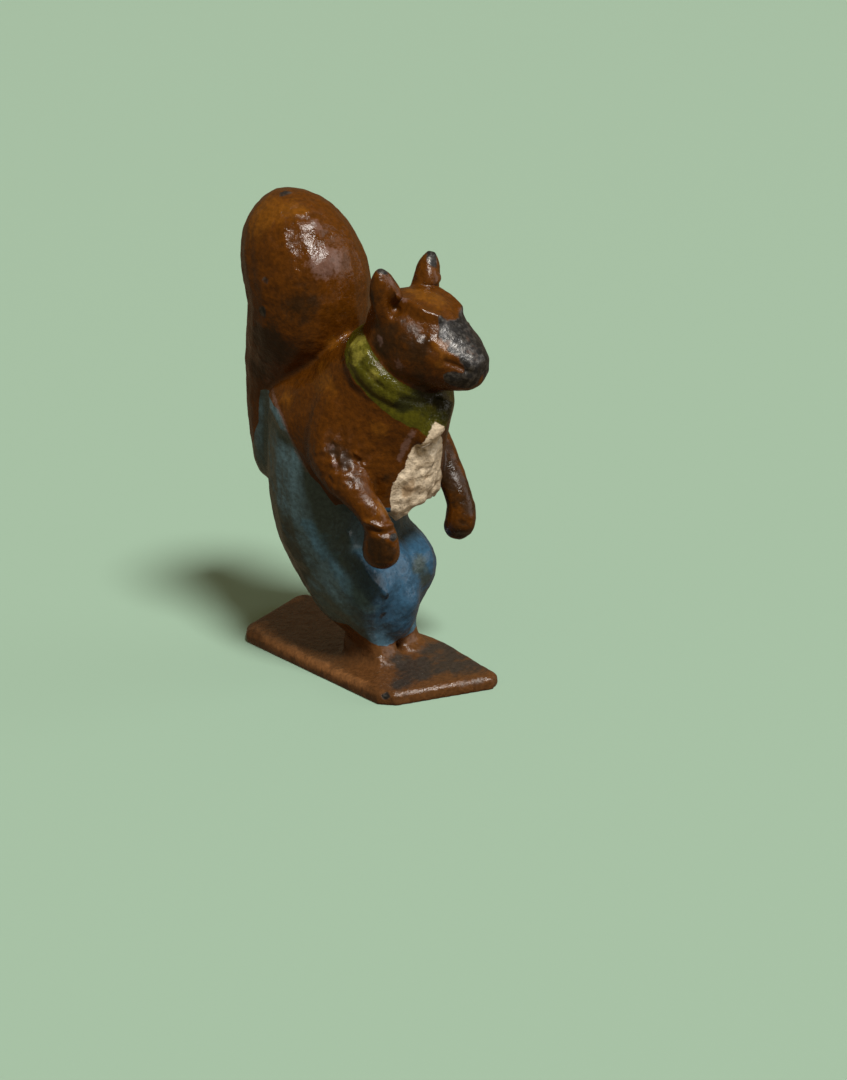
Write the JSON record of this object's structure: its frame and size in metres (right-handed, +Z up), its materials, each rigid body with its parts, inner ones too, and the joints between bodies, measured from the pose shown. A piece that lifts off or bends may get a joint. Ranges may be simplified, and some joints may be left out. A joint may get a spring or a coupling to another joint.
{
  "type": "squirrel figurine",
  "caption": "Small cast and painted figure of a squirrel in trousers, jacket and neckerchief, leaning forward on a flat plate with its tail raised behind.",
  "frame": {"origin": "middle of the base plate's underside", "axes": "+Z up, the squirrel faces -Y and its own left is +X"},
  "size_m": [0.0132, 0.0274, 0.0378],
  "materials": {
    "plate_paint": "worn gloss paint",
    "foot_paint": "worn gloss paint",
    "trouser_paint": "worn gloss paint",
    "fur_paint": "worn gloss paint",
    "shirt_paint": "chipped satin paint",
    "scarf_paint": "worn gloss paint",
    "pin_wire": "drawn wire",
    "solder": "dull soft solder"
  },
  "bodies": {
    "root": {"base_plate": "plate_paint", "right_foot": "foot_paint", "left_foot": "foot_paint", "trousers": "trouser_paint", "torso": "fur_paint", "shirt_front": "shirt_paint", "neckerchief": "scarf_paint", "head": "fur_paint", "right_arm": "fur_paint", "left_arm": "fur_paint", "tail": "fur_paint", "neck_pin": "pin_wire", "waist_pin": "pin_wire", "tail_pin": "pin_wire", "arm_pins": "pin_wire", "ankle_pins": "pin_wire", "solder_plugs": "solder"}
  },
  "joints": []
}
